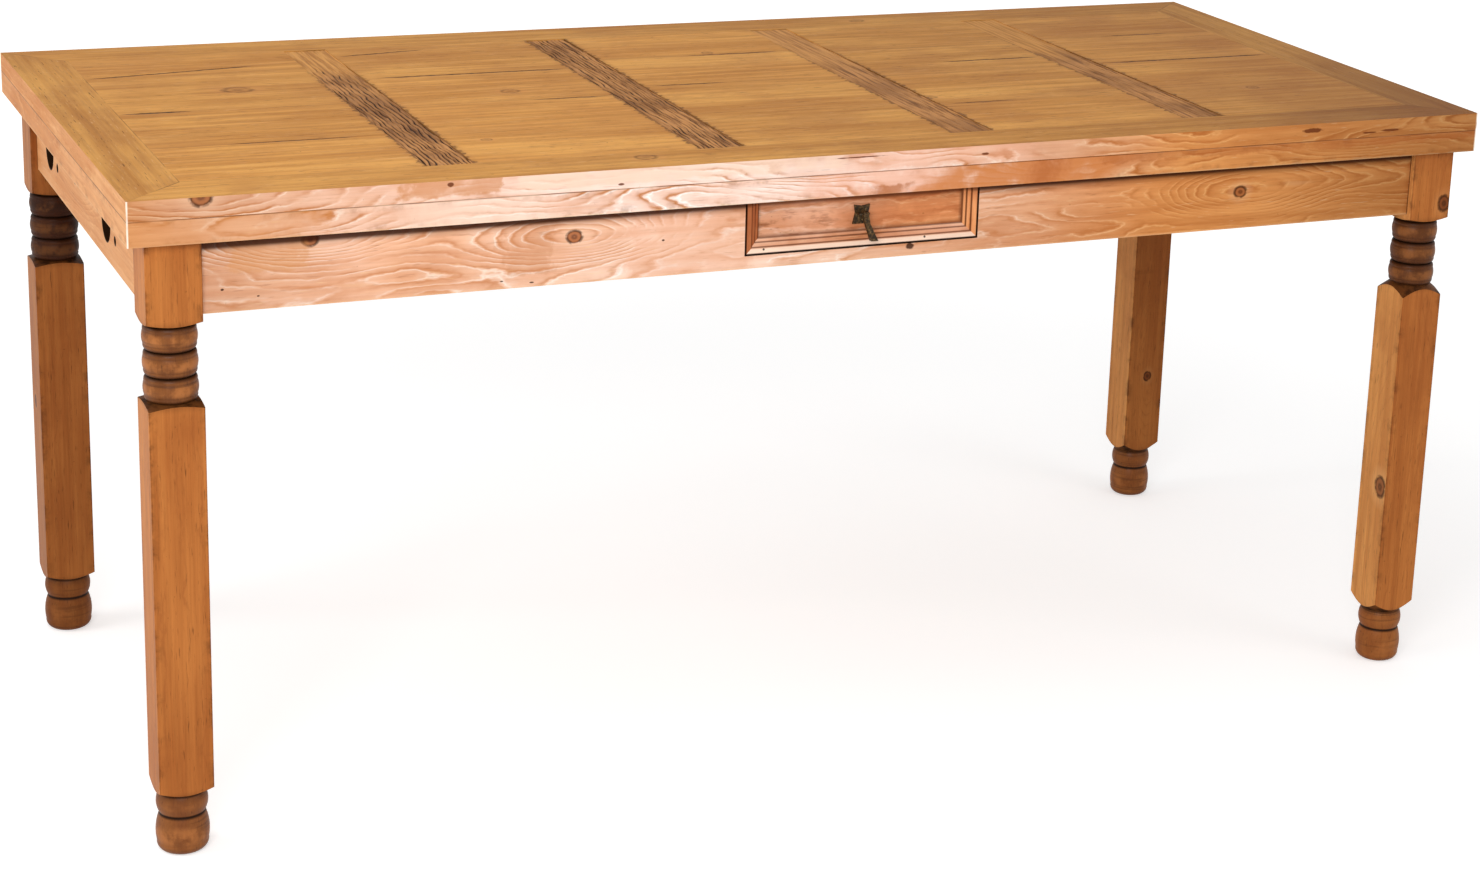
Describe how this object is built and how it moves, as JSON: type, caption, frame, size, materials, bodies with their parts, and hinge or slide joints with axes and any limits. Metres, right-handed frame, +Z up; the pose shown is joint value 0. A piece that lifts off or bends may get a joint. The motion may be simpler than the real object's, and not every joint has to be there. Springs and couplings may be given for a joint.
{
  "type": "tavern table",
  "caption": "Long tavern table with a mitred plank top, rough cross strips, turned legs with beads and bun feet, and a small drawer with an iron drop pull.",
  "frame": {"origin": "on the floor under the middle of the top", "axes": "+Z up, +X to the right along the top's length, the drawer opens towards -Y"},
  "size_m": [1.7, 0.78, 0.76],
  "materials": {
    "top_pine": "waxed",
    "apron_pine": "waxed",
    "leg_pine": "waxed",
    "inner_pine": "bare",
    "weathered_pine": "rough",
    "iron": "forged"
  },
  "bodies": {
    "table": {"apron_back": "apron_pine", "apron_front": "apron_pine", "apron_left": "apron_pine", "apron_right": "apron_pine", "corner_bolts": "iron", "corner_brace_back_left": "inner_pine", "corner_brace_back_right": "inner_pine", "corner_brace_front_left": "inner_pine", "corner_brace_front_right": "inner_pine", "drawer_guide_left": "inner_pine", "drawer_guide_right": "inner_pine", "drawer_runner_left": "inner_pine", "drawer_runner_right": "inner_pine", "drawer_stops": "inner_pine", "leg_back_left": "leg_pine", "leg_back_right": "leg_pine", "leg_front_left": "leg_pine", "leg_front_right": "leg_pine", "rough_strip_1": "weathered_pine", "rough_strip_2": "weathered_pine", "rough_strip_3": "weathered_pine", "rough_strip_4": "weathered_pine", "top_batten_1": "inner_pine", "top_batten_2": "inner_pine", "top_batten_3": "inner_pine", "top_batten_4": "inner_pine", "top_frame_back": "top_pine", "top_frame_front": "top_pine", "top_frame_left": "top_pine", "top_frame_right": "top_pine", "top_glue_blocks": "inner_pine", "top_planks_1": "top_pine", "top_planks_2": "top_pine", "top_planks_3": "top_pine", "top_planks_4": "top_pine", "top_planks_5": "top_pine", "top_skirt_back": "apron_pine", "top_skirt_front": "apron_pine", "top_skirt_left": "apron_pine", "top_skirt_right": "apron_pine"},
    "drawer": {"drawer_back": "inner_pine", "drawer_bottom": "inner_pine", "drawer_front": "apron_pine", "drawer_moulding_bottom": "apron_pine", "drawer_moulding_left": "apron_pine", "drawer_moulding_right": "apron_pine", "drawer_side_left": "inner_pine", "drawer_side_right": "inner_pine", "pull_plate": "iron", "pull_staple": "iron"},
    "drop_pull": {"pull_drop": "iron"}
  },
  "joints": [
    {"name": "drawer_slide", "type": "slide", "parent": "table", "child": "drawer", "axis": [0, -1, 0], "range_m": [0, 0.3]},
    {"name": "pull_swing", "type": "hinge", "parent": "drawer", "child": "drop_pull", "pos_m": [0, -0.3679, 0.681], "axis": [-1, 0, 0], "range_deg": [0, 70]}
  ]
}
